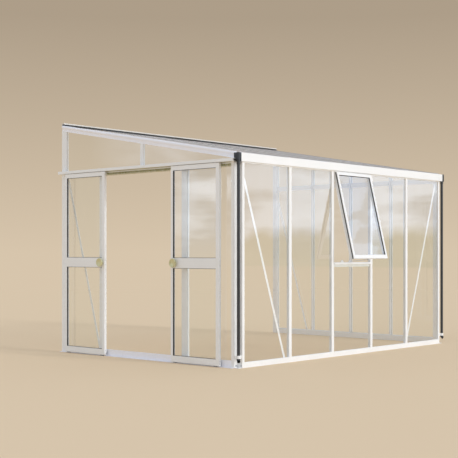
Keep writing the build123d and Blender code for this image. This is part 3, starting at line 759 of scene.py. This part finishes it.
# Brush under the door track that closes the gap over the doors; its olive carrier and pile are also
# painted shade, the shade under the track with its green tint
brush_ends = (96, 2606)
brush_x = -4.0
brush_z = 2018
carrier_depths = (-7.5, -0.3)
carrier_heights = (2016.5, 2019.7)
low, high = [at(*corner) for corner in zip(carrier_depths, brush_ends, carrier_heights)]
carrier = Shape().box(low, high)
piece("track_painted_shade_brush_carrier", carrier, "black_rubber", bevel=0.0006, finish=painted_shade_brush_pile)
pile = {"Spacing": 0.0017, "Length": 0.032, "Thickness": 0.0017, "Tilt": 0.1, "Aim": downward}
brush_line = [at(brush_x, y, brush_z) for y in brush_ends]
grow(
    "track_painted_shade_bristles", brush_line, bristles, pile, "black_rubber",
    edges=[(0, 1)], finish=painted_shade_brush_pile,
)

# White ends that close the roof sheets over the gutter, each a channel from bar to bar
sheet_from_bar = 18.5
sheet_from_side = 32.0
sheet_end_outline = [
    (12.2, 3.0), (26.0, 3.0), (26.0, 4.1), (13.8, 4.1),
    (13.8, 14.5), (26.0, 14.5), (26.0, 15.6), (12.2, 15.6),
]
sheet_edges = [sheet_from_side]
for x in front_bars:
    sheet_edges += [x - sheet_from_bar, x + sheet_from_bar]
sheet_edges.append(length - sheet_from_side)
closures = Shape()
for x0, x1 in zip(sheet_edges[::2], sheet_edges[1::2]):
    extrude_across(closures, sheet_end_outline, roof, x0, x1)
piece("roof_sheet_ends", closures, "white_metal")

# Rubber lips beside the caps of the roof bars and rafters
bar_cap_half = 18.0
side_cap = 34.0
lip_ends = (15, 2650)
lip_outline = [(-0.5, 0.8), (-0.5, 4.2), (3.2, 4.2), (1.2, 2.6)]
cap_edges = [(x + side * bar_cap_half, side) for x in front_bars for side in (-1, 1)]
cap_edges += [(side_cap, 1), (length - side_cap, -1)]
lips = Shape()
for x, way in cap_edges:
    start, end = [[roof(x + way * across, y, drop) for across, drop in lip_outline] for y in lip_ends]
    lips.between(start, end)
piece("roof_bar_lips", lips, "black_rubber")

# Sleeves over the gutter's ends
sleeve_outline = [
    (-12, 2102.5), (-21.5, 2102.5), (-21.5, 2018.5), (-1, 2018.5),
    (-1, 2019.8), (-20.2, 2019.8), (-20.2, 2101.2), (-12, 2101.2),
]
sleeve_spans = ((21.0, 52.0), (length - 100.0, length - 21.0))
sleeves = Shape()
for x0, x1 in sleeve_spans:
    extrude_across(sleeves, sleeve_outline, at, x0, x1)
piece("gutter_sleeves", sleeves, "white_metal")

# Collars on the downpipes, under the outlet and over the shoe
collar_heights = ((1988.0, 2015.7), (80.0, 95.6))
collar_bore = 0.0162
collar_radius = 0.0188
collar_edge = 0.001
collar_steps = 32
for name, x in (("left", 0), ("right", length)):
    collars = Shape()
    for low, high in collar_heights:
        rise = (high - low) / 1000
        profile = [
            (collar_bore, 0), (collar_radius - collar_edge, 0), (collar_radius, collar_edge),
            (collar_radius, rise - collar_edge), (collar_radius - collar_edge, rise),
            (collar_bore, rise), (collar_bore, 0),
        ]
        collars.lathe(profile, Matrix.Translation(at(x, 0, low)), collar_steps)
    piece(f"downpipe_{name}_collars", collars, "black_plastic", smooth=True, bevel=0.0004)

# Bolts in the notches of the corner posts, and the screws of the outlets and clips
notch_back = [(32, 60, 22)]
notch_side = [(55, 15, 22), (55, 15, 2009)]
outlet_face = [(10, -20, 2030)]
clip_face = [(36, 4.5, 111.5)]
for name, end, way, outward in (("left", 0, 1, to_left), ("right", length, -1, to_right)):
    back, side = from_end(end, way, notch_back), from_end(end, way, notch_side)
    outlet, clip = from_end(end, way, outlet_face), from_end(end, way, clip_face)
    fasten(f"{name}_notch_back_bolt", back, bolts, large_bolt, to_front)
    fasten(f"{name}_notch_side_bolts", side, bolts, large_bolt, outward)
    fasten(f"{name}_outlet_screw", outlet, screws, wide_head, to_front, "black_rubber")
    fasten(f"{name}_clip_screw", clip, screws, pan_head, to_front)

# Bolts that hold the bars to the sills, transoms and eaves, on their inner ribs
rib_depth = 42
front_heights = (85.0, 1975.0)
end_heights = (100.0, 1968.0, 2090.0)
places = [at(x, rib_depth, z) for x in front_bars for z in front_heights]
fasten("front_bar_bolts", places, bolts, small_bolt, to_back)
places = [at(length - rib_depth, y, z) for y in end_bars for z in end_heights]
fasten("right_end_bar_bolts", places, bolts, small_bolt, to_left)

# Bolts at the ends of the braces
brace_face = 45.3
front_ends = [(92, brace_face, 1978), (756, brace_face, 68)]
side_ends = [(brace_face, 2627, 1984), (brace_face, 2083, 84)]
places = from_end(0, 1, front_ends) + from_end(length, -1, front_ends)
fasten("front_brace_bolts", places, bolts, small_bolt, to_back)
for name, end, way, inward in (("left", 0, 1, to_right), ("right", length, -1, to_left)):
    fasten(f"{name}_brace_bolts", from_end(end, way, side_ends), bolts, small_bolt, inward)

# Screws along the wall plate and down the two wall posts
plate_screw_y = 2682
plate_screw_z = 2550
plate_screw_xs = range(190, length, 385)
places = [at(x, plate_screw_y, plate_screw_z) for x in plate_screw_xs]
fasten("wall_plate_screws", places, screws, wide_head, to_front)
post_face = 42.0
post_screw_y = 2668
post_heights = (130.0, 600.0, 1070.0, 1540.0, 1900.0, 2330.0)
post_screws = [(post_face, post_screw_y, z) for z in post_heights]
for name, end, way, inward in (("left", 0, 1, to_right), ("right", length, -1, to_left)):
    fasten(f"{name}_wall_post_screws", from_end(end, way, post_screws), screws, wide_head, inward)

# Floor: matt near the greenhouse, and further off it glows in the backdrop's colour
floor_mesh = bpy.data.meshes.new("floor")
turns = ((-1, -1), (1, -1), (1, 1), (-1, 1))
corners = [(x * floor_reach, y * floor_reach, -floor_drop) for x, y in turns]
floor_mesh.from_pydata(corners, [], [(0, 1, 2, 3)])
floor = bpy.data.objects.new("floor", floor_mesh)
scene.collection.objects.link(floor)
floor_finish, graph, place = material_graph("floor")
sun_on_floor = sum(strength * way[2] for strength, _, way in (high_sun, low_sun)) / math.pi
albedo = tuple(seen / (sky + sun_on_floor) for seen, sky in zip(backdrop_colour, sky_colour))
matt = graph.value("ShaderNodeBsdfDiffuse", None, {"Color": albedo})
glow = graph.value("ShaderNodeEmission", None, {"Color": backdrop_colour})
away = graph.value("ShaderNodeVectorMath", {"operation": "LENGTH"}, {0: place}, "Value")
graph.finish_material(graph.mixed(graph.fade(away, *floor_glow), matt, glow))
floor_mesh.materials.append(floor_finish)

# World: even light for matt surfaces and the backdrop for the camera. What gloss mirrors is a green
# band under bright streaks at the front, a bright gap beside the left end, and uneven patches higher
# up. The limits of its fades are parts of a direction that is 1 long.
band_edge = (0.0, 0.012)
gap_start = (0.52, 0.62)
gap_stop = (0.7, 0.755)
gap_foot = (-0.02, 0.02)
gap_share = 0.9
beside_start = (0.42, 0.56)
veil_top = (0.338, 0.326)
veil_share = 0.45
veil_colour = (1.2, 1.7, 2.5)
upper_start = (0.14, 0.26)
ahead_start = (0.25, 0.6)
world = bpy.data.worlds.new("studio")
scene.world = world
world.use_nodes = True
graph = Graph(world.node_tree)
direction = graph.value("ShaderNodeTexCoord", None, None, "Generated")
paths = graph.node("ShaderNodeLightPath")
across, along, height = graph.axes(direction)
turn = math.radians(camera_turn)
ahead = across * -math.sin(turn) + along * math.cos(turn)
backdrop = graph.blend(graph.fade(height, 0.0, backdrop_fade), backdrop_colour, upper_backdrop)
streaks = graph.stretched_noise(direction, (9.0, 9.0, 34.0), 3.0, 0.55)
bright_streaks = graph.ramp(streaks, (0.4, (0.45, 0.55, 0.72)), (0.58, (1.95, 2.2, 2.65)))
green_band = graph.ramp(streaks, (0.35, (0.2, 0.24, 0.1)), (0.65, (0.48, 0.5, 0.3)))
band_top = graph.stretched_noise(direction, (26.0, 26.0, 8.0), 3.0) * 0.05 - 0.012
over_band = graph.fade(height - band_top, *band_edge)
end_gap = graph.fade(along, *gap_start) * (1 - graph.fade(along, *gap_stop)) * gap_share
end_gap = end_gap * graph.fade(height, *gap_foot)
beside = graph.blend(graph.fade(along, *beside_start), (0.14, 0.14, 0.13), (0.64, 0.56, 0.44))
front_side = along < 0.0
dull = graph.blend(front_side, beside, green_band)
bright = front_side * over_band + (1 - front_side) * end_gap
lower = graph.blend(bright, dull, bright_streaks)
patches = graph.stretched_noise(direction, (40.0, 40.0, 52.0), 2.0)
upper = graph.ramp(patches, (0.48, (0.3, 0.3, 0.32)), (0.52, (1.25, 1.55, 2.15)))
upper = graph.blend(graph.fade(height, *veil_top) * veil_share, upper, veil_colour)
mirrored = graph.blend(graph.fade(height, *upper_start), lower, upper)
mirrored = graph.blend(graph.fade(ahead, *ahead_start), mirrored, backdrop)
lit = graph.blend(paths.outputs["Is Glossy Ray"], sky_colour, mirrored)
seen = graph.blend(paths.outputs["Is Camera Ray"], lit, backdrop)
seen = graph.blend(paths.outputs["Is Transmission Ray"], seen, backdrop)
background = graph.value("ShaderNodeBackground", None, {"Color": seen, "Strength": 1.0})
graph.node("ShaderNodeOutputWorld", None, {"Surface": background})

# Lamps: a soft sun from high over the front, and a stronger low one that reaches the inner faces
for name, (strength, spread, way) in (("high_sun", high_sun), ("low_sun", low_sun)):
    lamp = bpy.data.lights.new(name, "SUN")
    lamp.energy = strength
    lamp.color = sun_colour
    lamp.angle = math.radians(spread)
    sun = bpy.data.objects.new(name, lamp)
    sun.rotation_mode = "QUATERNION"
    sun.rotation_quaternion = Vector(way).to_track_quat("Z", "Y")
    scene.collection.objects.link(sun)

# Camera
camera_data = bpy.data.cameras.new("camera")
camera_data.sensor_width = 36.0
camera_data.lens = camera_lens
camera_data.shift_y = camera_rise
camera_data.clip_end = 200.0
camera = bpy.data.objects.new("camera", camera_data)
camera.location = at(*camera_place)
camera.rotation_euler = (math.radians(90), 0, math.radians(camera_turn))
scene.collection.objects.link(camera)
scene.camera = camera
scene.view_settings.view_transform = "Standard"
